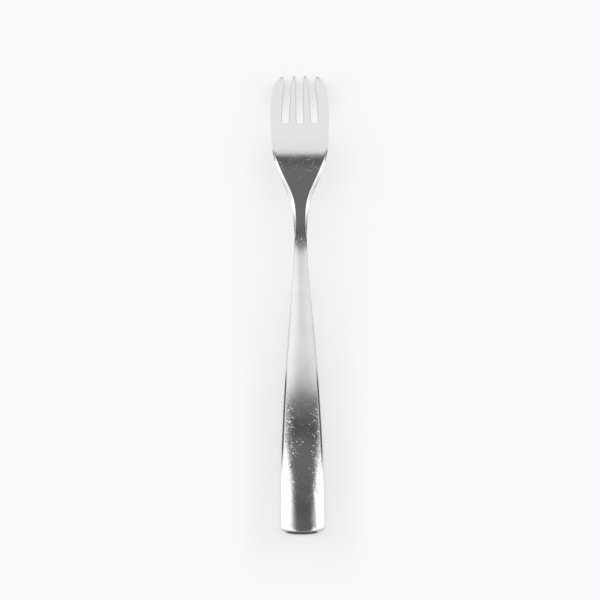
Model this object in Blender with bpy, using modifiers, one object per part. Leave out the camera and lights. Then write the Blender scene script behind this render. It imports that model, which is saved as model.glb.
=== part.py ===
"""Dinner fork in one piece of stainless steel, lying face down on its tine tips and its handle.

The fork is made as the real one is: a flat blank with an outline and three slots, rolled to a taper, then
bent. The sheet below is the fork's face, which is underneath here, and its thickness grows up to the back.
X runs across, +Y runs to the tine tips, +Z is up, and the origin is under the middle of the fork.
"""

import math

import bmesh
import bpy

# Sizes are in metres and angles in degrees. Places along the fork are Y.
HANDLE_END = -0.1000
SLOT_ROOT = 0.0779
INNER_TIP = 0.0997
OUTER_TIP = 0.0993

# Half of the outline's width at stations along the fork, from the handle's end to the outer tip.
HANDLE_HALF_WIDTH = 0.0096
HALF_WIDTH = (
    (HANDLE_END, HANDLE_HALF_WIDTH),
    (-0.0850, HANDLE_HALF_WIDTH),
    (-0.0600, 0.0088),
    (-0.0300, 0.0071),
    (0.0000, 0.0046),
    (0.0200, 0.0030),
    (0.0305, 0.0027),
    (0.0390, 0.0033),
    (0.0470, 0.0049),
    (0.0550, 0.0088),
    (0.0630, 0.0113),
    (0.0710, 0.0125),
    (0.0790, 0.0126),
    (0.0870, 0.0124),
    (0.0960, 0.0104),
    (OUTER_TIP, 0.0080),
)

# The handle's end: its rounded corners, and how far its middle bows out beyond them.
END_CORNER_RADIUS = 0.0035
END_BOW = 0.0009
END_BOW_LENGTH = 0.0120

# Distance from the centre line of the slots' sides, at stations along the tines.
CENTRE_SLOT_SIDE = ((SLOT_ROOT, 0.00138), (0.0920, 0.00150), (0.0965, 0.00160), (INNER_TIP, 0.00190))
INNER_TINE_SIDE = ((SLOT_ROOT, 0.00485), (0.0880, 0.00435), (0.0965, 0.00355), (INNER_TIP, 0.00272))
OUTER_TINE_SIDE = ((SLOT_ROOT, 0.00775), (0.0880, 0.00735), (0.0965, 0.00665), (OUTER_TIP, 0.00722))
SLOT_SIDES = (CENTRE_SLOT_SIDE, INNER_TINE_SIDE, OUTER_TINE_SIDE)

# Slope of the face at stations along the fork. Between two stations it turns evenly, as in an arc.
BENDS = ((-0.0620, 0.0), (-0.0300, 5.6), (-0.0050, 7.3), (0.0480, 6.3), (0.0592, 0.0), (INNER_TIP, -31.0))

# Thickness on the centre line.
THICKNESS = (
    (HANDLE_END, 0.0015),
    (-0.0992, 0.0020),
    (-0.0987, 0.00235),
    (-0.0984, 0.00236),
    (-0.0980, 0.00237),
    (-0.0600, 0.0028),
    (0.0000, 0.0033),
    (0.0265, 0.0038),
    (0.0400, 0.0034),
    (0.0520, 0.0026),
    (0.0640, 0.0020),
    (SLOT_ROOT, 0.0019),
    (0.0920, 0.0015),
    (INNER_TIP, 0.0010),
)
# Shares of the thickness that are gone at the outer edge: by the crown of the back, which falls away from
# the centre line, and by the bevel along the edge, which is crisp on neck and shoulder.
CROWN = (
    (HANDLE_END, 0.30),
    (-0.0860, 0.36),
    (-0.0700, 0.24),
    (-0.0600, 0.15),
    (-0.0480, 0.09),
    (0.0000, 0.08),
    (0.0290, 0.01),
    (0.0500, 0.0),
    (INNER_TIP, 0.0),
)
BEVEL_DROP = (
    (HANDLE_END, 0.0),
    (-0.0760, 0.0),
    (-0.0620, 0.22),
    (-0.0440, 0.22),
    (-0.0260, 0.05),
    (0.0300, 0.0),
    (0.0360, 0.08),
    (0.0430, 0.20),
    (0.0500, 0.26),
    (0.0560, 0.26),
    (0.0620, 0.16),
    (0.0660, 0.0),
    (INNER_TIP, 0.0),
)
BEVEL_WIDTH = (
    (HANDLE_END, 0.0006),
    (-0.0200, 0.0006),
    (0.0300, 0.0003),
    (0.0360, 0.0009),
    (0.0430, 0.0014),
    (0.0500, 0.0017),
    (0.0560, 0.0016),
    (0.0620, 0.0009),
    (0.0660, 0.0004),
    (INNER_TIP, 0.0004),
)
CREASE_WIDTH = 0.0003
EDGE_RIM_WIDTH = 0.0003

# Rows of the sheet along the fork. Those at the handle's end are shares of the corners' radius, and those of
# the tines are shares of the way from slot root to tip.
END_ROWS = (0.0, 0.025, 0.10, 0.22, 0.375, 0.45, 0.57, 0.78)
HANDLE_ROWS = 10
NECK = 0.0220
SHOULDER_ROWS = 12
ROOT_RIM_WIDTH = 0.0007
TINE_ROWS = (0.0, 0.03, 0.25, 0.48, 0.70, 0.86, 0.96, 1.0)

# Columns of the half sheet, from the centre line to the outer edge, and the two that the slots follow.
CENTRE_SLOT_COLUMN = 0
SIDE_SLOT_COLUMN = 4
CREASE_COLUMN = 7
EDGE_COLUMN = 9
TINES_BEGIN = 0.0550
SLOT_RIM_WIDTH = 0.0006
MOST_RIM_SHARE = 0.28

MERGE_DISTANCE = 0.00005
ROUNDING_LEVELS = 1
STEEL_COLOUR = (0.58, 0.57, 0.55, 1.0)
STEEL_ROUGHNESS = 0.16


def smooth_step(t):
    return t * t * (3 - 2 * t)


def at_station(stations, y):
    """The value at y of a smooth curve through (y, value) stations."""
    last = len(stations) - 1
    k = max(i for i in range(last) if i == 0 or stations[i][0] <= y)
    slopes = []
    for i in (k, k + 1):
        before, after = stations[max(i - 1, 0)], stations[min(i + 1, last)]
        slopes.append((after[1] - before[1]) / (after[0] - before[0]))
    (y0, v0), (y1, v1) = stations[k], stations[k + 1]
    t = min(max((y - y0) / (y1 - y0), 0.0), 1.0)
    swing = (y1 - y0) * t * (1 - t)
    return v0 + (v1 - v0) * smooth_step(t) + swing * ((1 - t) * slopes[0] - t * slopes[1])


def face_height(y):
    """Height of the face above the table: the sum of the arcs that BENDS describes, up to y."""
    height = 0.0
    for (y0, degrees0), (y1, degrees1) in zip(BENDS, BENDS[1:]):
        if y <= y0:
            break
        start = math.radians(degrees0)
        turn = (math.radians(degrees1) - start) / (y1 - y0)
        end = start + turn * (min(y, y1) - y0)
        height += math.log(math.cos(start) / math.cos(end)) / turn
    return height


def half_width(y):
    """Half of the outline's width, with the rounded corners of the handle's end."""
    from_end = y - HANDLE_END
    if from_end >= END_CORNER_RADIUS:
        return at_station(HALF_WIDTH, y)
    rounded = math.sqrt(from_end * (2 * END_CORNER_RADIUS - from_end))
    return HANDLE_HALF_WIDTH - END_CORNER_RADIUS + rounded


def end_setback(x, y):
    """How far back the bowed end lies at x, fading out up the handle."""
    fade = max(0.0, 1 - (y - HANDLE_END) / END_BOW_LENGTH)
    return END_BOW * fade * (x / HANDLE_HALF_WIDTH) ** 2


def edge_rim(bevel):
    """Width of the strip along the edge that keeps a bevel of this width flat up to it."""
    return min(EDGE_RIM_WIDTH, bevel / 2)


def columns_on_tines(y):
    """Distances from the centre line of the columns along the slots' sides and the outer edge."""
    edge = half_width(y)
    centre, inner, outer = (at_station(side, y) for side in SLOT_SIDES)
    inner_rim = min(SLOT_RIM_WIDTH, MOST_RIM_SHARE * (inner - centre))
    outer_rim = min(SLOT_RIM_WIDTH, MOST_RIM_SHARE * (edge - outer))
    bevel = min(at_station(BEVEL_WIDTH, y), MOST_RIM_SHARE * (edge - outer))
    inner_tine = (centre, centre + inner_rim, inner - inner_rim, inner)
    return (0.0, *inner_tine, outer, outer + outer_rim, edge - bevel, edge - edge_rim(bevel), edge)


def columns_across(y):
    """Distances of the columns from the centre line: even up to the bevel's crease, and passing over the
    shoulder to those of the tines."""
    if y >= SLOT_ROOT:
        return columns_on_tines(y)
    edge = half_width(y)
    bevel = at_station(BEVEL_WIDTH, y)
    crease = edge - bevel
    even = [(crease - CREASE_WIDTH) * i / (CREASE_COLUMN - 1) for i in range(CREASE_COLUMN)]
    even += [crease, edge - edge_rim(bevel), edge]
    share = smooth_step(max(0.0, (y - TINES_BEGIN) / (SLOT_ROOT - TINES_BEGIN)))
    scale = edge / half_width(SLOT_ROOT)
    return [(1 - share) * x + share * scale * x_tine for x, x_tine in zip(even, columns_on_tines(SLOT_ROOT))]


def rows_below_slots():
    """Places of the rows from the handle's end to just short of the slots' roots."""
    corner = [HANDLE_END + END_CORNER_RADIUS * share for share in END_ROWS]
    handle_start = HANDLE_END + END_CORNER_RADIUS
    handle = [handle_start + (NECK - handle_start) * i / HANDLE_ROWS for i in range(HANDLE_ROWS)]
    shoulder_end = SLOT_ROOT - ROOT_RIM_WIDTH
    shoulder = [NECK + (shoulder_end - NECK) * i / SHOULDER_ROWS for i in range(SHOULDER_ROWS + 1)]
    return corner + handle + shoulder


def thickness_at(x, y, column):
    """Thickness of the steel at a point of the sheet."""
    edge = half_width(y)
    crown = at_station(CROWN, y) * (x / edge) ** 2
    bevel = at_station(BEVEL_DROP, y) if column > CREASE_COLUMN else 0.0
    share = 1 - (edge - x) / at_station(BEVEL_WIDTH, y)
    return at_station(THICKNESS, y) * (1 - crown) * (1 - bevel * share)


def half_sheet(thickest):
    """Mesh of half of the fork's face, bent and slotted, with its thickness as weights of thickest."""
    lower_rows = rows_below_slots()
    root_row = len(lower_rows)
    last_row = root_row + len(TINE_ROWS) - 1
    sheet = bmesh.new()
    bmesh.ops.create_grid(sheet, x_segments=EDGE_COLUMN, y_segments=last_row, size=0.5)
    weights = sheet.verts.layers.deform.verify()

    column_of = {v: round((v.co.x + 0.5) * EDGE_COLUMN) for v in sheet.verts}
    row_of = {v: round((v.co.y + 0.5) * last_row) for v in sheet.verts}
    slot_faces = []
    for face in sheet.faces:
        column = min(column_of[v] for v in face.verts)
        row = min(row_of[v] for v in face.verts)
        if row >= root_row and column in (CENTRE_SLOT_COLUMN, SIDE_SLOT_COLUMN):
            slot_faces.append(face)

    for v in sheet.verts:
        column, row = column_of[v], row_of[v]
        if row < root_row:
            y = lower_rows[row]
        else:
            tip = INNER_TIP if column <= SIDE_SLOT_COLUMN else OUTER_TIP
            y = SLOT_ROOT + (tip - SLOT_ROOT) * TINE_ROWS[row - root_row]
        x = columns_across(y)[column]
        v.co = (x, y + end_setback(x, y), face_height(y))
        v[weights][0] = thickness_at(x, y, column) / thickest
    bmesh.ops.delete(sheet, geom=slot_faces, context="FACES")

    mesh = bpy.data.meshes.new("fork")
    sheet.to_mesh(mesh)
    sheet.free()
    mesh.shade_smooth()
    return mesh


def polished_steel():
    """Polished stainless steel, a little dulled by use."""
    material = bpy.data.materials.new("polished_stainless_steel")
    material.use_nodes = True
    shader = material.node_tree.nodes["Principled BSDF"]
    shader.inputs["Base Color"].default_value = STEEL_COLOUR
    shader.inputs["Metallic"].default_value = 1.0
    shader.inputs["Roughness"].default_value = STEEL_ROUGHNESS
    return material


def make_fork(collection):
    """The fork: the half sheet mirrored, thickened up to the back, and rounded at every edge."""
    thickest = max(value for _, value in THICKNESS)
    mesh = half_sheet(thickest)
    mesh.materials.append(polished_steel())
    fork = bpy.data.objects.new("fork", mesh)
    collection.objects.link(fork)
    thickness_group = fork.vertex_groups.new(name="thickness")

    mirror = fork.modifiers.new("other_half", "MIRROR")
    mirror.merge_threshold = MERGE_DISTANCE
    body = fork.modifiers.new("steel_thickness", "SOLIDIFY")
    body.thickness = thickest
    body.offset = 1.0
    body.vertex_group = thickness_group.name
    rounding = fork.modifiers.new("rounded_edges", "SUBSURF")
    rounding.levels = ROUNDING_LEVELS
    rounding.render_levels = ROUNDING_LEVELS


def main():
    for old in list(bpy.data.objects):
        bpy.data.objects.remove(old)
    collection = bpy.data.collections.new("dinner_fork")
    bpy.context.scene.collection.children.link(collection)
    make_fork(collection)


main()
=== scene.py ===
"""Dinner fork of polished stainless steel, lying face down on a white table in a light tent.

The fork is struck from one blank: a sheet with an outline and three slots, bent in a die, thickened to its
taper and rounded at every edge. Geometry Nodes then give it the ripples and dents of use. X runs across,
+Y runs to the tine tips, +Z is up, and lengths are in metres.
"""

import math

import bmesh
import bpy
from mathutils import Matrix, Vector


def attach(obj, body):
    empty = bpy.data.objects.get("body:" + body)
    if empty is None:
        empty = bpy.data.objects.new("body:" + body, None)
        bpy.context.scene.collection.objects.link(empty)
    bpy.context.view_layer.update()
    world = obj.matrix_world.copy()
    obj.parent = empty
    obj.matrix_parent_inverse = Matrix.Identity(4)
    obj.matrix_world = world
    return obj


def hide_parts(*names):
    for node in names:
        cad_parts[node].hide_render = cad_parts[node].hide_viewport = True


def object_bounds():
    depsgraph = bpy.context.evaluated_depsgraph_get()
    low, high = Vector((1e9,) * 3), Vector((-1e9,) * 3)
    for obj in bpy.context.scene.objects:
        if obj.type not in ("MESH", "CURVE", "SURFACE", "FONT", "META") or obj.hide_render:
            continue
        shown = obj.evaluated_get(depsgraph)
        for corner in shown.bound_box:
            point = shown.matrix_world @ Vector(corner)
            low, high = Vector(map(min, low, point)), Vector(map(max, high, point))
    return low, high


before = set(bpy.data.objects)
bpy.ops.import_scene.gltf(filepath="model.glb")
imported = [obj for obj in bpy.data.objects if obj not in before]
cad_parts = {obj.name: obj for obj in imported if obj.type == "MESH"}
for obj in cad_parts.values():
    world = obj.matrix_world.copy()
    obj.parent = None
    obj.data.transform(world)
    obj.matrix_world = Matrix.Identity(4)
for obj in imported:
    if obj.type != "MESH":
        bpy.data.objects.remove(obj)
CAD_LOW, CAD_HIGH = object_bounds()
CAD_SIZE = CAD_HIGH - CAD_LOW

bl_info = {
    "name": "Dinner Fork",
    "version": (1, 0, 0),
    "blender": (4, 5, 0),
    "location": "3D View > Sidebar > Dinner Fork",
    "description": "Makes a worn stainless steel dinner fork and the light tent it is shown in",
    "category": "Object",
}

MM = 0.001
FORK_NODE = "fork"

# Places along the fork.
HANDLE_END = -0.1000
SLOT_ROOT = 0.0779
INNER_TIP = 0.0997
OUTER_TIP = 0.0993

# Half of the outline's width at stations along the fork, from the handle's end to the outer tip.
HANDLE_HALF_WIDTH = 0.0096
HALF_WIDTH = (
    (HANDLE_END, HANDLE_HALF_WIDTH),
    (-0.0850, HANDLE_HALF_WIDTH),
    (-0.0600, 0.0088),
    (-0.0300, 0.0071),
    (0.0000, 0.0046),
    (0.0200, 0.0030),
    (0.0305, 0.0027),
    (0.0390, 0.0033),
    (0.0470, 0.0049),
    (0.0550, 0.0088),
    (0.0630, 0.0113),
    (0.0710, 0.0125),
    (0.0790, 0.0126),
    (0.0870, 0.0124),
    (0.0960, 0.0104),
    (OUTER_TIP, 0.0080),
)

# The handle's end: its rounded corners, and how far its middle bows out beyond them.
END_CORNER_RADIUS = 0.0035
END_BOW = 0.0009
END_BOW_LENGTH = 0.0120

# Distance from the centre line of the slots' sides, at stations along the tines.
CENTRE_SLOT_SIDE = ((SLOT_ROOT, 0.00138), (0.0920, 0.00150), (0.0965, 0.00160), (INNER_TIP, 0.00190))
INNER_TINE_SIDE = ((SLOT_ROOT, 0.00485), (0.0880, 0.00435), (0.0965, 0.00355), (INNER_TIP, 0.00272))
OUTER_TINE_SIDE = ((SLOT_ROOT, 0.00775), (0.0880, 0.00735), (0.0965, 0.00665), (OUTER_TIP, 0.00722))
SLOT_SIDES = (CENTRE_SLOT_SIDE, INNER_TINE_SIDE, OUTER_TINE_SIDE)

# Slope of the face in degrees at stations along the fork. From one station to the next it turns evenly, as
# in an arc.
BENDS = ((-0.0620, 0.0), (-0.0300, 5.6), (-0.0050, 7.3), (0.0480, 6.3), (0.0592, 0.0), (INNER_TIP, -31.0))

# Thickness on the centre line.
THICKNESS = (
    (HANDLE_END, 0.0015),
    (-0.0992, 0.0020),
    (-0.0987, 0.00235),
    (-0.0984, 0.00236),
    (-0.0980, 0.00237),
    (-0.0600, 0.0028),
    (0.0000, 0.0033),
    (0.0265, 0.0038),
    (0.0400, 0.0034),
    (0.0520, 0.0026),
    (0.0640, 0.0020),
    (SLOT_ROOT, 0.0019),
    (0.0920, 0.0015),
    (INNER_TIP, 0.0010),
)
# Shares of the thickness that are gone at the outer edge: by the crown of the back, which falls away from
# the centre line, and by the bevel along the edge, which is crisp on neck and shoulder.
CROWN = (
    (HANDLE_END, 0.30),
    (-0.0860, 0.36),
    (-0.0700, 0.24),
    (-0.0600, 0.15),
    (-0.0480, 0.09),
    (0.0000, 0.08),
    (0.0290, 0.01),
    (0.0500, 0.0),
    (INNER_TIP, 0.0),
)
BEVEL_DROP = (
    (HANDLE_END, 0.0),
    (-0.0760, 0.0),
    (-0.0620, 0.22),
    (-0.0440, 0.22),
    (-0.0260, 0.05),
    (0.0300, 0.0),
    (0.0360, 0.08),
    (0.0430, 0.20),
    (0.0500, 0.26),
    (0.0560, 0.26),
    (0.0620, 0.16),
    (0.0660, 0.0),
    (INNER_TIP, 0.0),
)
BEVEL_WIDTH = (
    (HANDLE_END, 0.0006),
    (-0.0200, 0.0006),
    (0.0300, 0.0003),
    (0.0360, 0.0009),
    (0.0430, 0.0014),
    (0.0500, 0.0017),
    (0.0560, 0.0016),
    (0.0620, 0.0009),
    (0.0660, 0.0004),
    (INNER_TIP, 0.0004),
)
CREASE_WIDTH = 0.0003
EDGE_RIM_WIDTH = 0.0003

# Rows of the sheet along the fork. Those at the handle's end are shares of the corners' radius, and those
# of the tines are shares of the way from slot root to tip.
END_ROWS = (0.0, 0.025, 0.10, 0.22, 0.375, 0.45, 0.57, 0.78)
HANDLE_ROWS = 10
NECK = 0.0220
SHOULDER_ROWS = 12
ROOT_RIM_WIDTH = 0.0007
TINE_ROWS = (0.0, 0.03, 0.25, 0.48, 0.70, 0.86, 0.96, 1.0)

# Columns of the half sheet, from the centre line to the outer edge, and the two that the slots follow.
CENTRE_SLOT_COLUMN = 0
SIDE_SLOT_COLUMN = 4
CREASE_COLUMN = 7
EDGE_COLUMN = 9
TINES_BEGIN = 0.0550
SLOT_RIM_WIDTH = 0.0006
MOST_RIM_SHARE = 0.28
MERGE_DISTANCE = 0.00005

# The sheet starts as a flat grid that reaches this far to each side, where a point's place gives its column
# and row.
GRID_REACH = 0.5

# Where wear moves the surface, by the upward part of its normal: dents fall on what is above the first, and
# wear comes to full depth over the range of the second.
BACK_UPWARD = 0.5
WORN_UPWARD = (0.2, 0.7)

# How strong each kind of wear on the steel is at stations along the fork, and last how strong the dark
# painted shade along its edges is.
UNEVEN = ((-0.070, 4.5), (-0.045, 1.0))
NICKED = (
    (-0.090, 0.72), (-0.074, 0.90), (-0.064, 1.02), (-0.048, 1.05), (-0.042, 0.85), (-0.037, 0.45),
    (-0.032, 0.3), (0.020, 0.3), (0.0255, 1.0), (0.032, 1.0), (0.037, 0.3),
)
SCRATCHED = ((-0.035, 0.3), (-0.028, 0.0), (0.036, 0.0), (0.044, 1.0))
# The edges' dark colour is painted shade, standing for the dark that the steep edges mirror, strongest
# between these stations.
PAINTED_EDGE_SHADE = (
    (-0.074, 0.0), (-0.062, 1.0), (-0.034, 1.0), (-0.026, 0.3), (0.018, 0.3), (0.024, 0.8),
    (0.034, 0.8), (0.042, 0.0), (0.061, 0.0), (0.064, 0.9), (0.066, 0.9), (0.068, 0.0),
)

# The polish: its fine unevenness, its streaks, and the patches that handling dulls, over a range of noise.
PEEL_WIDTH = 0.7 * MM
STREAK_WIDTH = 0.5 * MM
STREAK_LENGTH = 30 * MM
SMUDGE_WIDTH = 9 * MM
SMUDGE_NOISE = (0.35, 0.70)

# Nicks, drawn a little coarser than real ones so that they show. They are weaker near the centre line and
# between the patches of most handling. A knock weaker than the least leaves none, and few are strong. The
# random values that turn them run from 0 to 1, so they turn one way or the other from the middle.
NICK_SPACING = 0.42 * MM
NICK_RADIUS = 0.27 * MM
NICK_RAGGEDNESS = 0.24 * MM
MIDDLE_TO_EDGE = (2 * MM, 7 * MM)
MIDDLE_NICKED = 0.79
PATCH_NOISE = (0.40, 0.60)
PATCH_NICKED = 0.85
LEAST_KNOCK = 0.3
KNOCK_RARITY = 3.0
RANDOM_MIDDLE = 0.5

# Scratches, drawn a little wider than real ones so that they show: their directions in degrees from across
# the fork, the range of noise that is a scratch, and its strength.
SCRATCH_LENGTH = 6 * MM
SCRATCH_SPACING = 0.5 * MM
SCRATCH_TURNS = (6.0, -24.0, 68.0)
SCRATCH_CREST = (0.75, 0.83)
SCRATCH_STRENGTH = 0.4

# The sideways part of the normal over which a polished face passes into an edge, which is rougher and
# painted darker as shade.
EDGE_SIDEWAYS = (0.10, 0.18)

# The table: its finish, the share of it that is a glow the camera sees, and how bright that glow is. The
# last two differ near the fork, at stations along it, where the glow is painted shade and painted light,
# and NEAR and AWAY are distances from its centre line.
BOARD_ROUGHNESS = 0.9
BOARD_SPECULAR = 0.1
GLOW_SHARE = 0.75
# Near the fork the share of glow weakens or strengthens the real shadow: where it rises above GLOW_SHARE,
# under the slots, it is painted light over that shadow.
PAINTED_GLOW_SHARE_NEAR = (
    (-0.125, GLOW_SHARE), (-0.100, 0.50), (-0.085, 0.58), (-0.065, 0.74), (0.060, 0.75), (0.078, 0.92),
    (0.083, 0.85), (0.089, 0.62), (0.096, 0.36), (0.105, GLOW_SHARE),
)
# Strength of the glow near the fork: below 1 it is painted shade beside and under the fork.
PAINTED_SHADE_NEAR = (
    (-0.125, 1.0), (-0.112, 0.97), (-0.100, 0.88), (-0.070, 0.86), (-0.040, 0.89), (0.000, 0.95),
    (0.015, 0.97), (0.040, 0.965), (0.058, 0.94), (0.070, 0.945), (0.080, 0.97), (0.090, 0.985),
    (0.096, 1.0),
)
NEAR = 12 * MM
AWAY = 32 * MM

# The light tent by direction: a card spans a range of the direction's X and one of its Y, and each edge has
# a softness. Directions run from -1 to 1, so on a side without an edge a card runs on to the horizon. Later
# cards lie over earlier ones.
NO_LOW_EDGE = (-2.0, 0.1)
NO_HIGH_EDGE = (2.0, 0.1)
BACK_WALL = (NO_LOW_EDGE, NO_HIGH_EDGE, (0.33, 0.15), NO_HIGH_EDGE)
FRONT_OPENING = (NO_LOW_EDGE, NO_HIGH_EDGE, NO_LOW_EDGE, (-0.31, 0.03))
LEFT_SOFTBOX = ((-0.92, 0.05), (-0.130, 0.03), (-0.19, 0.04), (0.55, 0.15))
RIGHT_SOFTBOX = ((0.15, 0.03), (0.85, 0.05), (-0.19, 0.04), (0.55, 0.15))
CAMERA_OPENING = ((-0.172, 0.04), (0.202, 0.014), (-0.150, 0.012), (0.261, 0.025))
CAMERA_FRONT = ((-0.118, 0.035), (0.145, 0.02), (-0.226, 0.038), (-0.130, 0.012))
CAMERA_BODY = ((-0.118, 0.035), (0.145, 0.02), (-0.160, 0.015), (-0.130, 0.012))
CAMERA_BACK = ((-0.172, 0.04), (0.202, 0.014), (0.19, 0.03), (0.261, 0.025))
BACK_LEFT = ((-0.76, 0.05), (-0.47, 0.08), (0.47, 0.08), (0.78, 0.07))
BACK_RIGHT = ((0.47, 0.08), (0.76, 0.05), (0.47, 0.08), (0.78, 0.07))
BACK_LOW = ((-0.25, 0.1), (0.25, 0.1), (0.963, 0.015), NO_HIGH_EDGE)
FRONT_LEFT = (NO_LOW_EDGE, (-0.07, 0.06), (-0.31, 0.03), (-0.205, 0.03))
FRONT_RIGHT = ((0.08, 0.05), NO_HIGH_EDGE, (-0.31, 0.03), (-0.215, 0.03))
LOW_LEFT = ((-0.46, 0.05), (-0.27, 0.04), NO_LOW_EDGE, (-0.76, 0.05))
LOW_RIGHT = ((0.25, 0.04), (0.50, 0.05), NO_LOW_EDGE, (-0.76, 0.05))

# The range of the direction's Z over which table and tent meet.
HORIZON_UPWARD = (0.12, 0.16)

# Sockets of the Mix node that share their names with others: the two values or the two colours that it
# mixes, and the mixed colour.
VALUE_A, VALUE_B = 2, 3
COLOUR_A, COLOUR_B, MIXED_COLOUR = 6, 7, 2


def linear_colour(hex_code):
    """Linear red, green, blue and alpha of an sRGB hex colour such as #FFFFFF."""
    channels = [int(hex_code[i:i + 2], 16) / 255 for i in (1, 3, 5)]
    return tuple(c / 12.92 if c <= 0.04045 else ((c + 0.055) / 1.055) ** 2.4 for c in channels) + (1.0,)


def add_node(tree, kind, inputs=None, **settings):
    """Adds a node with its settings. An input, by name or number, takes a value, another node's output, or
    another node, which stands for its first output."""
    node = tree.nodes.new(kind)
    for name, value in settings.items():
        setattr(node, name, value)
    for key, value in (inputs or {}).items():
        if isinstance(value, bpy.types.Node):
            value = value.outputs[0]
        if isinstance(value, bpy.types.NodeSocket):
            tree.links.new(value, node.inputs[key])
        else:
            node.inputs[key].default_value = value
    return node


def along_stations(tree, along, stations):
    """A value that runs straight between (y, value) stations along the fork."""
    total = stations[0][1]
    for (y0, value0), (y1, value1) in zip(stations, stations[1:]):
        step = add_node(tree, "ShaderNodeMapRange", {
            "Value": along, "From Min": y0, "From Max": y1, "To Min": 0.0, "To Max": value1 - value0,
        })
        total = add_node(tree, "ShaderNodeMath", {0: total, 1: step}, operation="ADD")
    return total


def smooth_step(t):
    return t * t * (3 - 2 * t)


def at_station(stations, y):
    """The value at y of a smooth curve through (y, value) stations."""
    last = len(stations) - 1
    k = max(i for i in range(last) if i == 0 or stations[i][0] <= y)
    slopes = []
    for i in (k, k + 1):
        before, after = stations[max(i - 1, 0)], stations[min(i + 1, last)]
        slopes.append((after[1] - before[1]) / (after[0] - before[0]))
    (y0, v0), (y1, v1) = stations[k], stations[k + 1]
    t = min(max((y - y0) / (y1 - y0), 0.0), 1.0)
    swing = (y1 - y0) * t * (1 - t)
    return v0 + (v1 - v0) * smooth_step(t) + swing * ((1 - t) * slopes[0] - t * slopes[1])


def face_height(y):
    """Height of the face above the table: the sum of the arcs that BENDS describes, up to y."""
    height = 0.0
    for (y0, degrees0), (y1, degrees1) in zip(BENDS, BENDS[1:]):
        if y <= y0:
            break
        start = math.radians(degrees0)
        turn = (math.radians(degrees1) - start) / (y1 - y0)
        end = start + turn * (min(y, y1) - y0)
        height += math.log(math.cos(start) / math.cos(end)) / turn
    return height


def half_width(y):
    """Half of the outline's width, with the rounded corners of the handle's end."""
    from_end = y - HANDLE_END
    if from_end >= END_CORNER_RADIUS:
        return at_station(HALF_WIDTH, y)
    rounded = math.sqrt(from_end * (2 * END_CORNER_RADIUS - from_end))
    return HANDLE_HALF_WIDTH - END_CORNER_RADIUS + rounded


def end_setback(x, y):
    """How far back the bowed end lies at x, fading out up the handle."""
    fade = max(0.0, 1 - (y - HANDLE_END) / END_BOW_LENGTH)
    return END_BOW * fade * (x / HANDLE_HALF_WIDTH) ** 2


def edge_rim(bevel):
    """Width of the strip along the edge that keeps a bevel of this width flat up to it."""
    return min(EDGE_RIM_WIDTH, bevel / 2)


def columns_on_tines(y):
    """Distances from the centre line of the columns along the slots' sides and the outer edge."""
    edge = half_width(y)
    centre, inner, outer = (at_station(side, y) for side in SLOT_SIDES)
    inner_rim = min(SLOT_RIM_WIDTH, MOST_RIM_SHARE * (inner - centre))
    outer_rim = min(SLOT_RIM_WIDTH, MOST_RIM_SHARE * (edge - outer))
    bevel = min(at_station(BEVEL_WIDTH, y), MOST_RIM_SHARE * (edge - outer))
    inner_tine = (centre, centre + inner_rim, inner - inner_rim, inner)
    return (0.0, *inner_tine, outer, outer + outer_rim, edge - bevel, edge - edge_rim(bevel), edge)


def columns_across(y):
    """Distances of the columns from the centre line: even up to the bevel's crease, and passing over the
    shoulder to those of the tines."""
    if y >= SLOT_ROOT:
        return columns_on_tines(y)
    edge = half_width(y)
    bevel = at_station(BEVEL_WIDTH, y)
    crease = edge - bevel
    even = [(crease - CREASE_WIDTH) * i / (CREASE_COLUMN - 1) for i in range(CREASE_COLUMN)]
    even += [crease, edge - edge_rim(bevel), edge]
    on_tines = columns_on_tines(SLOT_ROOT)
    share = smooth_step(max(0.0, (y - TINES_BEGIN) / (SLOT_ROOT - TINES_BEGIN)))
    scale = edge / half_width(SLOT_ROOT)
    return [(1 - share) * x + share * scale * x_tine for x, x_tine in zip(even, on_tines)]


def rows_below_slots():
    """Places of the rows from the handle's end to just short of the slots' roots."""
    corner = [HANDLE_END + END_CORNER_RADIUS * share for share in END_ROWS]
    handle_start = HANDLE_END + END_CORNER_RADIUS
    handle = [handle_start + (NECK - handle_start) * i / HANDLE_ROWS for i in range(HANDLE_ROWS)]
    shoulder_end = SLOT_ROOT - ROOT_RIM_WIDTH
    shoulder = [NECK + (shoulder_end - NECK) * i / SHOULDER_ROWS for i in range(SHOULDER_ROWS + 1)]
    return corner + handle + shoulder


def thickness_at(x, y, column):
    """Thickness of the steel at a point of the sheet."""
    edge = half_width(y)
    crown = at_station(CROWN, y) * (x / edge) ** 2
    bevel = at_station(BEVEL_DROP, y) if column > CREASE_COLUMN else 0.0
    share = 1 - (edge - x) / at_station(BEVEL_WIDTH, y)
    return at_station(THICKNESS, y) * (1 - crown) * (1 - bevel * share)


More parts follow.
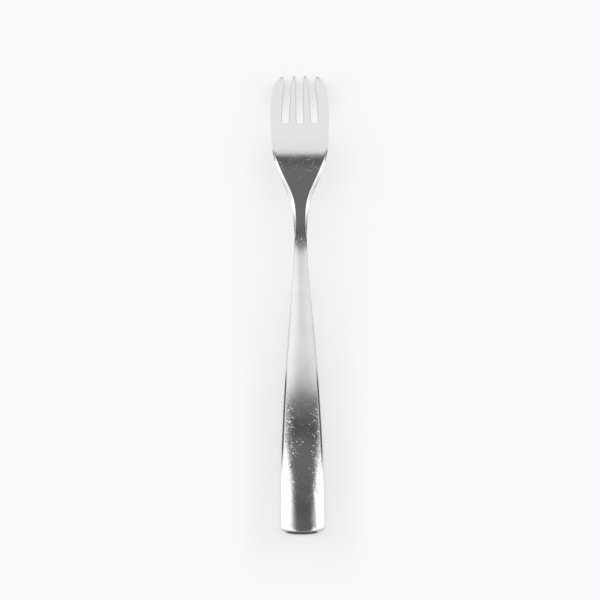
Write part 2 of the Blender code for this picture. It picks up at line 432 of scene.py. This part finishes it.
def half_sheet(thickest):
    """Mesh of half of the fork's face, bent and slotted, with its thickness as weights of thickest."""
    lower_rows = rows_below_slots()
    root_row = len(lower_rows)
    last_row = root_row + len(TINE_ROWS) - 1
    sheet = bmesh.new()
    bmesh.ops.create_grid(sheet, x_segments=EDGE_COLUMN, y_segments=last_row, size=GRID_REACH)
    weights = sheet.verts.layers.deform.verify()

    column_of = {v: round((v.co.x + GRID_REACH) * EDGE_COLUMN) for v in sheet.verts}
    row_of = {v: round((v.co.y + GRID_REACH) * last_row) for v in sheet.verts}
    slot_faces = []
    for face in sheet.faces:
        column = min(column_of[v] for v in face.verts)
        row = min(row_of[v] for v in face.verts)
        if row >= root_row and column in (CENTRE_SLOT_COLUMN, SIDE_SLOT_COLUMN):
            slot_faces.append(face)

    for v in sheet.verts:
        column, row = column_of[v], row_of[v]
        if row < root_row:
            y = lower_rows[row]
        else:
            tip = INNER_TIP if column <= SIDE_SLOT_COLUMN else OUTER_TIP
            y = SLOT_ROOT + (tip - SLOT_ROOT) * TINE_ROWS[row - root_row]
        x = columns_across(y)[column]
        v.co = (x, y + end_setback(x, y), face_height(y))
        v[weights][0] = thickness_at(x, y, column) / thickest
    bmesh.ops.delete(sheet, geom=slot_faces, context="FACES")

    mesh = bpy.data.meshes.new("fork_blank")
    sheet.to_mesh(mesh)
    sheet.free()
    return mesh


def dents(tree, given, body, along, upward):
    """Depth at each place of the dents that knocks have left on the handle's back."""
    on_handle = add_node(tree, "ShaderNodeMath", {
        0: along, 1: given["Dented Up To"],
    }, operation="LESS_THAN")
    on_back = add_node(tree, "ShaderNodeMath", {0: upward, 1: BACK_UPWARD}, operation="GREATER_THAN")
    dented = add_node(tree, "ShaderNodeMath", {0: on_handle, 1: on_back}, operation="MULTIPLY")
    knocks = add_node(tree, "GeometryNodeDistributePointsOnFaces", {
        "Mesh": body, "Selection": dented, "Density": given["Dents Per Area"], "Seed": given["Seed"],
    })
    nearest = add_node(tree, "GeometryNodeProximity", {0: knocks}, target_element="POINTS")
    return add_node(tree, "ShaderNodeMapRange", {
        "Value": nearest.outputs["Distance"],
        "From Min": 0.0,
        "From Max": given["Dent Radius"],
        "To Min": given["Dent Depth"],
        "To Max": 0.0,
    }, interpolation_type="SMOOTHERSTEP")


def ripples(tree, given, place):
    """Depth at each place of the ripples that polishing has left."""
    per_metre = add_node(tree, "ShaderNodeMath", {0: 1.0, 1: given["Ripple Width"]}, operation="DIVIDE")
    wave = add_node(tree, "ShaderNodeTexNoise", {"Vector": place, "Scale": per_metre, "Detail": 1.0})
    return add_node(tree, "ShaderNodeMath", {0: wave, 1: given["Ripple Depth"]}, operation="MULTIPLY")


def wear_tree():
    """Geometry Nodes that round a thick blank and wear its back: ripples from polishing, dents from use."""
    tree = bpy.data.node_groups.new("rounded_and_worn", "GeometryNodeTree")
    inputs = (
        ("Geometry", "NodeSocketGeometry"),
        ("Rounding", "NodeSocketInt"),
        ("Ripple Width", "NodeSocketFloat"),
        ("Ripple Depth", "NodeSocketFloat"),
        ("Dents Per Area", "NodeSocketFloat"),
        ("Dent Radius", "NodeSocketFloat"),
        ("Dent Depth", "NodeSocketFloat"),
        ("Dented Up To", "NodeSocketFloat"),
        ("Seed", "NodeSocketInt"),
        ("Steel", "NodeSocketMaterial"),
    )
    for name, kind in inputs:
        tree.interface.new_socket(name, in_out="INPUT", socket_type=kind)
    tree.interface.new_socket("Geometry", in_out="OUTPUT", socket_type="NodeSocketGeometry")

    given = add_node(tree, "NodeGroupInput").outputs
    body = add_node(tree, "GeometryNodeSubdivisionSurface", {
        "Mesh": given["Geometry"], "Level": given["Rounding"],
    })
    place = add_node(tree, "GeometryNodeInputPosition")
    along = add_node(tree, "ShaderNodeSeparateXYZ", {0: place}).outputs["Y"]
    normal = add_node(tree, "GeometryNodeInputNormal").outputs["Normal"]
    upward = add_node(tree, "ShaderNodeSeparateXYZ", {0: normal}).outputs["Z"]

    inward = add_node(tree, "ShaderNodeMath", {
        0: dents(tree, given, body, along, upward), 1: ripples(tree, given, place),
    }, operation="ADD")
    facing_up = add_node(tree, "ShaderNodeMapRange", {
        "Value": upward, "From Min": WORN_UPWARD[0], "From Max": WORN_UPWARD[1],
    })
    worn = add_node(tree, "ShaderNodeMath", {0: inward, 1: facing_up}, operation="MULTIPLY")
    outward = add_node(tree, "ShaderNodeMath", {0: worn, 1: -1.0}, operation="MULTIPLY")
    shift = add_node(tree, "ShaderNodeVectorMath", {0: normal, "Scale": outward}, operation="SCALE")

    moved = add_node(tree, "GeometryNodeSetPosition", {"Geometry": body, "Offset": shift})
    smooth = add_node(tree, "GeometryNodeSetShadeSmooth", {"Geometry": moved})
    whole = add_node(tree, "GeometryNodeRealizeInstances", {"Geometry": smooth})
    steel = add_node(tree, "GeometryNodeSetMaterial", {"Geometry": whole, "Material": given["Steel"]})
    add_node(tree, "NodeGroupOutput", {0: steel})
    return tree


def handling(tree, place, across, along):
    """How much each place has been knocked about: by station along the fork, in patches, and most at the
    edges."""
    handled = along_stations(tree, along, NICKED)
    at_edge = add_node(tree, "ShaderNodeMapRange", {
        "Value": across,
        "From Min": MIDDLE_TO_EDGE[0],
        "From Max": MIDDLE_TO_EDGE[1],
        "To Min": MIDDLE_NICKED,
        "To Max": 1.0,
    })
    patch = add_node(tree, "ShaderNodeTexNoise", {
        "Vector": place, "Scale": 1 / SMUDGE_WIDTH, "Detail": 2.0,
    })
    patch = add_node(tree, "ShaderNodeMapRange", {
        "Value": patch,
        "From Min": PATCH_NOISE[0],
        "From Max": PATCH_NOISE[1],
        "To Min": PATCH_NICKED,
        "To Max": 1.0,
    })
    handled = add_node(tree, "ShaderNodeMath", {0: handled, 1: at_edge}, operation="MULTIPLY")
    return add_node(tree, "ShaderNodeMath", {0: handled, 1: patch}, operation="MULTIPLY")


def polish_height(tree, finish, place, along):
    """Height of the fine unevenness that polishing leaves, with streaks along the fork."""
    peel = add_node(tree, "ShaderNodeTexNoise", {"Vector": place, "Scale": 1 / PEEL_WIDTH, "Detail": 2.0})
    peel = add_node(tree, "ShaderNodeMath", {0: peel, 1: finish.peel_depth}, operation="MULTIPLY")
    uneven = along_stations(tree, along, UNEVEN)
    peel = add_node(tree, "ShaderNodeMath", {0: peel, 1: uneven}, operation="MULTIPLY")
    stretched = add_node(tree, "ShaderNodeMapping", {
        "Vector": place, "Scale": (1 / STREAK_WIDTH, 1 / STREAK_LENGTH, 1 / STREAK_LENGTH),
    })
    streak = add_node(tree, "ShaderNodeTexNoise", {"Vector": stretched, "Scale": 1.0, "Detail": 2.0})
    return add_node(tree, "ShaderNodeMath", {
        0: streak, 1: finish.streak_depth, 2: peel,
    }, operation="MULTIPLY_ADD")


def nicked_normal(tree, finish, place, facing, handled):
    """Normal of the steel with its nicks: small facets, each turned its own way, and most only a little."""
    ragged = add_node(tree, "ShaderNodeTexNoise", {
        "Vector": place, "Scale": 1 / NICK_RADIUS, "Detail": 1.0,
    })
    ragged = add_node(tree, "ShaderNodeVectorMath", {
        0: ragged.outputs["Color"], 1: (NICK_RAGGEDNESS,) * 3, 2: place,
    }, operation="MULTIPLY_ADD")
    cell = add_node(tree, "ShaderNodeTexVoronoi", {
        "Vector": ragged, "Scale": 1 / NICK_SPACING,
    }, voronoi_dimensions="2D")
    chance, turn_x, turn_y = add_node(tree, "ShaderNodeSeparateColor", {0: cell.outputs["Color"]}).outputs

    chance = add_node(tree, "ShaderNodeMath", {0: chance, 1: handled}, operation="MULTIPLY")
    knock = add_node(tree, "ShaderNodeMapRange", {
        "Value": chance, "From Min": LEAST_KNOCK, "From Max": 1.0,
    })
    knock = add_node(tree, "ShaderNodeMath", {0: knock, 1: KNOCK_RARITY}, operation="POWER")
    reach = add_node(tree, "ShaderNodeMath", {
        0: turn_y, 1: NICK_RADIUS / NICK_SPACING,
    }, operation="MULTIPLY")
    inside = add_node(tree, "ShaderNodeMath", {
        0: cell.outputs["Distance"], 1: reach,
    }, operation="LESS_THAN")
    nick = add_node(tree, "ShaderNodeMath", {0: knock, 1: inside}, operation="MULTIPLY")
    steep = add_node(tree, "ShaderNodeMath", {
        0: nick, 1: math.tan(finish.nick_turn) / RANDOM_MIDDLE,
    }, operation="MULTIPLY")

    turn = add_node(tree, "ShaderNodeCombineXYZ", {"X": turn_x, "Y": turn_y, "Z": RANDOM_MIDDLE})
    turn = add_node(tree, "ShaderNodeVectorMath", {0: turn, 1: (RANDOM_MIDDLE,) * 3}, operation="SUBTRACT")
    turn = add_node(tree, "ShaderNodeVectorMath", {0: turn, "Scale": steep}, operation="SCALE")
    facet = add_node(tree, "ShaderNodeVectorMath", {0: facing, 1: turn}, operation="ADD")
    return add_node(tree, "ShaderNodeVectorMath", {0: facet}, operation="NORMALIZE")


def scratches(tree, place, along):
    """Where the steel is scratched, and how much: sparse hairlines in a few directions."""
    scratched = 0.0
    for degrees in SCRATCH_TURNS:
        turned = add_node(tree, "ShaderNodeMapping", {
            "Vector": place,
            "Rotation": (0.0, 0.0, math.radians(degrees)),
            "Scale": (SCRATCH_LENGTH, SCRATCH_SPACING, SCRATCH_LENGTH),
        }, vector_type="TEXTURE")
        line = add_node(tree, "ShaderNodeTexNoise", {"Vector": turned, "Scale": 1.0, "Detail": 0.0})
        crest = add_node(tree, "ShaderNodeMapRange", {
            "Value": line,
            "From Min": SCRATCH_CREST[0],
            "From Max": SCRATCH_CREST[1],
            "To Max": SCRATCH_STRENGTH,
        })
        scratched = add_node(tree, "ShaderNodeMath", {0: scratched, 1: crest}, operation="MAXIMUM")
    strength = along_stations(tree, along, SCRATCHED)
    return add_node(tree, "ShaderNodeMath", {0: scratched, 1: strength}, operation="MULTIPLY")


def dull_edges_and_painted_shade(tree, facing, along):
    """Where the steel is an edge, made rougher and darker there; the darker colour is painted shade."""
    sideways = add_node(tree, "ShaderNodeSeparateXYZ", {0: facing}).outputs["X"]
    sideways = add_node(tree, "ShaderNodeMath", {0: sideways}, operation="ABSOLUTE")
    edge = add_node(tree, "ShaderNodeMapRange", {
        "Value": sideways, "From Min": EDGE_SIDEWAYS[0], "From Max": EDGE_SIDEWAYS[1],
    }, interpolation_type="SMOOTHSTEP")
    # How much of the painted shade the edges take, by stations along the fork.
    dark = along_stations(tree, along, PAINTED_EDGE_SHADE)
    return add_node(tree, "ShaderNodeMath", {0: edge, 1: dark}, operation="MULTIPLY")


def polished_stainless_steel(finish):
    """Stainless steel, rolled, polished to a soft mirror and then used for years."""
    # The eye reads it by what it mirrors: edges of light wander where the polish is uneven, break into
    # specks at nicks, and haze over where fine scratches scatter them. The edges draw a darker, duller
    # line: duller by roughness, darker by painted shade.
    material = bpy.data.materials.new("polished_stainless_steel")
    material.use_nodes = True
    tree = material.node_tree
    place = add_node(tree, "ShaderNodeTexCoord").outputs["Object"]
    facing = add_node(tree, "ShaderNodeNewGeometry").outputs["Normal"]
    across, along, _ = add_node(tree, "ShaderNodeSeparateXYZ", {0: place}).outputs
    across = add_node(tree, "ShaderNodeMath", {0: across}, operation="ABSOLUTE")
    handled = handling(tree, place, across, along)
    scratched = scratches(tree, place, along)
    edge = dull_edges_and_painted_shade(tree, facing, along)

    height = add_node(tree, "ShaderNodeMath", {
        0: scratched, 1: -finish.scratch_depth, 2: polish_height(tree, finish, place, along),
    }, operation="MULTIPLY_ADD")
    bump = add_node(tree, "ShaderNodeBump", {
        "Height": height,
        "Distance": 1.0,
        "Strength": 1.0,
        "Normal": nicked_normal(tree, finish, place, facing, handled),
    })

    # Handling dulls the polish in patches, and scratches and the edges scatter light.
    smudge = add_node(tree, "ShaderNodeTexNoise", {
        "Vector": place, "Scale": 1 / SMUDGE_WIDTH, "Detail": 4.0,
    })
    rough = add_node(tree, "ShaderNodeMapRange", {
        "Value": smudge,
        "From Min": SMUDGE_NOISE[0],
        "From Max": SMUDGE_NOISE[1],
        "To Min": finish.polish_roughness,
        "To Max": finish.smudge_roughness,
    })
    rough = add_node(tree, "ShaderNodeMix", {
        0: scratched, VALUE_A: rough, VALUE_B: finish.scratch_roughness,
    })
    rough = add_node(tree, "ShaderNodeMix", {0: edge, VALUE_A: rough, VALUE_B: finish.edge_roughness})
    # Along the edges the colour is painted shade.
    colour = add_node(tree, "ShaderNodeMix", {
        0: edge, COLOUR_A: finish.steel_colour, COLOUR_B: finish.edge_shade_colour,
    }, data_type="RGBA").outputs[MIXED_COLOUR]

    shader = tree.nodes["Principled BSDF"]
    shader.inputs["Metallic"].default_value = 1.0
    tree.links.new(colour, shader.inputs["Base Color"])
    tree.links.new(rough.outputs[0], shader.inputs["Roughness"])
    tree.links.new(bump.outputs["Normal"], shader.inputs["Normal"])
    return material


def matt_white_board(stage):
    """White melamine-faced board, matt, with a glow that the camera sees, dimmed to painted shade near the
    fork.
    """
    # To the eye it is an even white that greys only a little beside and under the fork: partly its real
    # shadow, partly painted shade where the glow is dimmed, and under the slots painted light where the
    # glow's share is raised.
    material = bpy.data.materials.new("matt_white_board")
    material.use_nodes = True
    tree = material.node_tree
    shader = tree.nodes["Principled BSDF"]
    shader.inputs["Base Color"].default_value = stage.floor_colour
    shader.inputs["Roughness"].default_value = BOARD_ROUGHNESS
    shader.inputs["Specular IOR Level"].default_value = BOARD_SPECULAR

    place = add_node(tree, "ShaderNodeTexCoord").outputs["Object"]
    across, along, _ = add_node(tree, "ShaderNodeSeparateXYZ", {0: place}).outputs
    across = add_node(tree, "ShaderNodeMath", {0: across}, operation="ABSOLUTE")
    away = add_node(tree, "ShaderNodeMapRange", {
        "Value": across, "From Min": NEAR, "From Max": AWAY,
    }, interpolation_type="SMOOTHSTEP")
    # Painted light under the slots and painted shade beside and under the fork, by stations along it.
    painted_glow_share = along_stations(tree, along, PAINTED_GLOW_SHARE_NEAR)
    painted_shade_strength = along_stations(tree, along, PAINTED_SHADE_NEAR)
    share = add_node(tree, "ShaderNodeMix", {0: away, VALUE_A: painted_glow_share, VALUE_B: GLOW_SHARE})
    strength = add_node(tree, "ShaderNodeMix", {0: away, VALUE_A: painted_shade_strength, VALUE_B: 1.0})

    # The camera sees the glow, straight or mirrored in the steel, and the glow lights nothing else.
    ray = add_node(tree, "ShaderNodeLightPath").outputs
    seen = add_node(tree, "ShaderNodeMath", {
        0: ray["Is Camera Ray"], 1: ray["Is Glossy Ray"],
    }, operation="MAXIMUM")
    seen = add_node(tree, "ShaderNodeMath", {0: seen, 1: ray["Is Transmission Ray"]}, operation="MAXIMUM")
    share = add_node(tree, "ShaderNodeMath", {0: seen, 1: share}, operation="MULTIPLY")
    glow = add_node(tree, "ShaderNodeEmission", {"Color": stage.floor_colour, "Strength": strength})
    mixed = add_node(tree, "ShaderNodeMixShader", {0: share, 1: shader, 2: glow})
    tree.links.new(mixed.outputs[0], tree.nodes["Material Output"].inputs["Surface"])
    return material


def light_tent(stage):
    """World of a white tent with two softboxes overhead and a dark opening for the camera between them."""
    world = bpy.data.worlds.new("light_tent")
    world.use_nodes = True
    tree = world.node_tree
    tree.nodes.clear()
    direction = add_node(tree, "ShaderNodeTexCoord").outputs["Generated"]
    across, along, upward = add_node(tree, "ShaderNodeSeparateXYZ", {0: direction}).outputs

    level = stage.side_wall
    cards = (
        (BACK_WALL, stage.back_wall),
        (FRONT_OPENING, stage.front_opening),
        (LEFT_SOFTBOX, stage.left_softbox),
        (RIGHT_SOFTBOX, stage.right_softbox),
        (CAMERA_OPENING, stage.camera_opening),
        (CAMERA_FRONT, stage.camera_opening),
        (CAMERA_BODY, stage.camera_body),
        (CAMERA_BACK, stage.camera_back),
        (BACK_LEFT, stage.back_corners),
        (BACK_RIGHT, stage.back_corners),
        (BACK_LOW, stage.back_corners),
        (FRONT_LEFT, stage.front_left),
        (FRONT_RIGHT, stage.front_right),
        (LOW_LEFT, stage.front_low),
        (LOW_RIGHT, stage.front_low),
    )
    for edges, brightness in cards:
        cover = 1.0
        for (edge, softness), axis, rising in zip(edges, (across, across, along, along), (1, 0, 1, 0)):
            side = add_node(tree, "ShaderNodeMapRange", {
                "Value": axis,
                "From Min": edge - softness,
                "From Max": edge + softness,
                "To Min": 1.0 - rising,
                "To Max": float(rising),
            }, interpolation_type="SMOOTHSTEP")
            cover = add_node(tree, "ShaderNodeMath", {0: cover, 1: side}, operation="MULTIPLY")
        level = add_node(tree, "ShaderNodeMix", {0: cover, VALUE_A: level, VALUE_B: brightness})

    # White cloth is neutral, the dim room that shows between it is cooler, and low down the tent takes on
    # the table's colour.
    horizon = add_node(tree, "ShaderNodeMapRange", {
        "Value": upward, "From Min": HORIZON_UPWARD[0], "From Max": HORIZON_UPWARD[1],
    }, interpolation_type="SMOOTHSTEP")
    tint = add_node(tree, "ShaderNodeMix", {
        0: level, COLOUR_A: stage.room_colour, COLOUR_B: linear_colour("#FFFFFF"),
    }, data_type="RGBA").outputs[MIXED_COLOUR]
    tint = add_node(tree, "ShaderNodeMix", {
        0: horizon, COLOUR_A: stage.floor_colour, COLOUR_B: tint,
    }, data_type="RGBA").outputs[MIXED_COLOUR]
    level = add_node(tree, "ShaderNodeMix", {0: horizon, VALUE_A: stage.horizon, VALUE_B: level})
    light = add_node(tree, "ShaderNodeBackground", {"Color": tint, "Strength": level})
    add_node(tree, "ShaderNodeOutputWorld", {"Surface": light})
    return world


class ForkShape(bpy.types.PropertyGroup):
    """Size of the fork and the wear that moves its surface"""

    width: bpy.props.FloatProperty(
        name="Width", description="Width across the tines", default=CAD_SIZE.x, unit="LENGTH")
    length: bpy.props.FloatProperty(
        name="Length", description="From the handle's end to the tips", default=CAD_SIZE.y, unit="LENGTH")
    rounding: bpy.props.IntProperty(
        name="Rounding", description="Times that the blank is subdivided to round its edges",
        default=3, min=1, max=4)
    ripple_width: bpy.props.FloatProperty(
        name="Ripple width", description="Distance between ripples left by polishing",
        default=7 * MM, unit="LENGTH")
    ripple_depth: bpy.props.FloatProperty(
        name="Ripple depth", description="Depth of those ripples",
        default=0.004 * MM, unit="LENGTH", precision=6)
    dents_per_area: bpy.props.FloatProperty(
        name="Dents per square metre", description="How many knocks the handle's back has taken",
        default=12000.0)
    dent_radius: bpy.props.FloatProperty(
        name="Dent radius", description="Radius of one dent", default=1.1 * MM, unit="LENGTH", precision=5)
    dent_depth: bpy.props.FloatProperty(
        name="Dent depth", description="Depth of one dent", default=0.012 * MM, unit="LENGTH", precision=6)
    dented_up_to: bpy.props.FloatProperty(
        name="Dented up to", description="Place along the fork where the dents end",
        default=-0.030, unit="LENGTH")
    seed: bpy.props.IntProperty(name="Seed", description="Where the dents fall", default=4)


class ForkFinish(bpy.types.PropertyGroup):
    """Colour and polish of the steel"""

    steel_colour: bpy.props.FloatVectorProperty(
        name="Steel colour", description="Colour that the bare steel mirrors", subtype="COLOR", size=4,
        default=linear_colour("#DADADA"))
    # A dark grey painted as shade along the edges.
    edge_shade_colour: bpy.props.FloatVectorProperty(
        name="Edge colour", description="Colour of the ground edges", subtype="COLOR", size=4,
        default=linear_colour("#5A5A5C"))
    polish_roughness: bpy.props.FloatProperty(
        name="Polish roughness", description="Roughness where the polish is kept",
        default=0.06, subtype="FACTOR")
    smudge_roughness: bpy.props.FloatProperty(
        name="Smudge roughness", description="Roughness where handling has dulled it",
        default=0.11, subtype="FACTOR")
    scratch_roughness: bpy.props.FloatProperty(
        name="Scratch roughness", description="Roughness in scratches", default=0.40, subtype="FACTOR")
    edge_roughness: bpy.props.FloatProperty(
        name="Edge roughness", description="Roughness of the ground edges", default=0.35, subtype="FACTOR")
    peel_depth: bpy.props.FloatProperty(
        name="Peel depth", description="Depth of the fine unevenness of the polish",
        default=0.001 * MM, unit="LENGTH", precision=6)
    streak_depth: bpy.props.FloatProperty(
        name="Streak depth", description="Depth of the streaks along the fork",
        default=0.002 * MM, unit="LENGTH", precision=6)
    nick_turn: bpy.props.FloatProperty(
        name="Nick turn", description="How far the worst nicks turn the surface",
        default=math.radians(24), subtype="ANGLE")
    scratch_depth: bpy.props.FloatProperty(
        name="Scratch depth", description="Depth of the scratches",
        default=0.010 * MM, unit="LENGTH", precision=6)


class StudioStage(bpy.types.PropertyGroup):
    """The table, the light tent around it and the camera above it"""

    floor_colour: bpy.props.FloatVectorProperty(
        name="Table colour", description="Colour of the table top", subtype="COLOR", size=4,
        default=linear_colour("#FBFBFD"))
    floor_size: bpy.props.FloatProperty(
        name="Table size", description="Length of the table top's sides", default=60.0, unit="LENGTH")
    camera_height: bpy.props.FloatProperty(
        name="Camera height", description="Height of the camera above the table",
        default=0.78, unit="LENGTH")
    camera_place: bpy.props.FloatVectorProperty(
        name="Camera place", description="Point of the table under the camera", size=2,
        default=(-0.00048, 0.00225), unit="LENGTH", precision=5)
    camera_roll: bpy.props.FloatProperty(
        name="Camera roll", description="Turn of the picture", default=math.radians(-0.40), subtype="ANGLE")
    picture_width: bpy.props.FloatProperty(
        name="Picture width", description="Width of the table in the picture",
        default=0.2618, unit="LENGTH")
    room_colour: bpy.props.FloatVectorProperty(
        name="Room colour", description="Tint of the room outside the tent", subtype="COLOR", size=4,
        default=linear_colour("#F6F8FF"))
    side_wall: bpy.props.FloatProperty(
        name="Side wall", description="Brightness of the tent's sides and roof", default=1.02)
    back_wall: bpy.props.FloatProperty(
        name="Back wall", description="Brightness of the tent beyond the tines", default=1.10)
    back_corners: bpy.props.FloatProperty(
        name="Back corners", default=0.45,
        description="Brightness low down in the tent and in its corners, beyond the tines")
    front_opening: bpy.props.FloatProperty(
        name="Front opening", description="Brightness of the room that shows before the tent", default=0.15)
    front_left: bpy.props.FloatProperty(
        name="Front left", description="Brightness of the tent's front on the left", default=1.25)
    front_right: bpy.props.FloatProperty(
        name="Front right", description="Brightness of the tent's front on the right", default=1.08)
    front_low: bpy.props.FloatProperty(
        name="Front low", description="Brightness of the cards low down before the tent", default=1.15)
    left_softbox: bpy.props.FloatProperty(
        name="Left softbox", description="Brightness of the left softbox", default=1.7)
    right_softbox: bpy.props.FloatProperty(
        name="Right softbox", description="Brightness of the right softbox", default=1.6)
    camera_opening: bpy.props.FloatProperty(
        name="Camera opening", description="Brightness of the opening for the camera", default=0.20)
    camera_body: bpy.props.FloatProperty(
        name="Camera body", description="Brightness of the camera in its opening", default=0.085)
    camera_back: bpy.props.FloatProperty(
        name="Camera back", description="Brightness of the opening's end towards the tines", default=0.125)
    horizon: bpy.props.FloatProperty(
        name="Horizon", description="Brightness where tent and table meet", default=0.979)


class DINNERFORK_OT_fork(bpy.types.Operator):
    """Make the fork: mirror and thicken its half blank, round it and wear it"""

    bl_idname = "dinner_fork.make_fork"
    bl_label = "Make fork"

    def execute(self, context):
        shape = context.scene.dinner_fork_shape
        thickest = max(value for _, value in THICKNESS)
        fork = bpy.data.objects.new("worn_fork", half_sheet(thickest))
        context.collection.objects.link(fork)
        thickness_group = fork.vertex_groups.new(name="thickness")
        mirror = fork.modifiers.new("other_half", "MIRROR")
        mirror.merge_threshold = MERGE_DISTANCE
        body = fork.modifiers.new("steel_thickness", "SOLIDIFY")
        body.thickness = thickest
        body.offset = 1.0
        body.vertex_group = thickness_group.name

        tree = wear_tree()
        wear = fork.modifiers.new("rounded_and_worn", "NODES")
        wear.node_group = tree
        values = {
            "Rounding": shape.rounding,
            "Ripple Width": shape.ripple_width,
            "Ripple Depth": shape.ripple_depth,
            "Dents Per Area": shape.dents_per_area,
            "Dent Radius": shape.dent_radius,
            "Dent Depth": shape.dent_depth,
            "Dented Up To": shape.dented_up_to,
            "Seed": shape.seed,
            "Steel": polished_stainless_steel(context.scene.dinner_fork_finish),
        }
        for socket in tree.interface.items_tree:
            if socket.in_out == "INPUT" and socket.name in values:
                wear[socket.identifier] = values[socket.name]

        context.view_layer.update()
        evaluated = fork.evaluated_get(context.evaluated_depsgraph_get())
        mesh = bpy.data.meshes.new_from_object(evaluated)
        if not mesh.polygons:
            raise RuntimeError("the fork came out with no faces")
        fork.modifiers.clear()
        fork.vertex_groups.clear()
        fork.data = mesh
        mesh.name = "worn_fork"
        for v in mesh.vertices:
            v.co.x *= shape.width / CAD_SIZE.x
            v.co.y *= shape.length / CAD_SIZE.y

        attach(fork, "root")
        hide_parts(FORK_NODE)
        return {"FINISHED"}


class DINNERFORK_OT_stage(bpy.types.Operator):
    """Lay the table, hang the light tent and set the camera above the fork"""

    bl_idname = "dinner_fork.set_stage"
    bl_label = "Set stage"

    def execute(self, context):
        stage = context.scene.dinner_fork_stage
        sheet = bmesh.new()
        bmesh.ops.create_grid(sheet, x_segments=1, y_segments=1, size=stage.floor_size / 2)
        mesh = bpy.data.meshes.new("table_top")
        sheet.to_mesh(mesh)
        sheet.free()
        mesh.materials.append(matt_white_board(stage))
        table = bpy.data.objects.new("table_top", mesh)
        context.collection.objects.link(table)

        lens = bpy.data.cameras.new("overhead_camera")
        lens.angle = 2 * math.atan(stage.picture_width / 2 / stage.camera_height)
        camera = bpy.data.objects.new("overhead_camera", lens)
        camera.location = (*stage.camera_place, stage.camera_height)
        camera.rotation_euler = (0.0, 0.0, stage.camera_roll)
        context.collection.objects.link(camera)
        context.scene.camera = camera
        context.scene.world = light_tent(stage)
        context.scene.view_settings.view_transform = "Standard"
        return {"FINISHED"}


class VIEW3D_PT_dinner_fork(bpy.types.Panel):
    """Sidebar panel with the fork's settings and its two steps"""

    bl_label = "Dinner Fork"
    bl_space_type = "VIEW_3D"
    bl_region_type = "UI"
    bl_category = "Dinner Fork"

    def draw(self, context):
        scene = context.scene
        groups = (
            (scene.dinner_fork_shape, DINNERFORK_OT_fork),
            (scene.dinner_fork_finish, None),
            (scene.dinner_fork_stage, DINNERFORK_OT_stage),
        )
        for settings, operator in groups:
            box = self.layout.box()
            for name in settings.bl_rna.properties.keys():
                if name not in ("rna_type", "name"):
                    box.prop(settings, name)
            if operator:
                box.operator(operator.bl_idname)


CLASSES = (
    ForkShape,
    ForkFinish,
    StudioStage,
    DINNERFORK_OT_fork,
    DINNERFORK_OT_stage,
    VIEW3D_PT_dinner_fork,
)


def register():
    for cls in CLASSES:
        bpy.utils.register_class(cls)
    bpy.types.Scene.dinner_fork_shape = bpy.props.PointerProperty(type=ForkShape)
    bpy.types.Scene.dinner_fork_finish = bpy.props.PointerProperty(type=ForkFinish)
    bpy.types.Scene.dinner_fork_stage = bpy.props.PointerProperty(type=StudioStage)


def unregister():
    del bpy.types.Scene.dinner_fork_stage
    del bpy.types.Scene.dinner_fork_finish
    del bpy.types.Scene.dinner_fork_shape
    for cls in reversed(CLASSES):
        bpy.utils.unregister_class(cls)


def main():
    register()
    bpy.ops.dinner_fork.make_fork()
    bpy.ops.dinner_fork.set_stage()


if __name__ == "__main__":
    main()
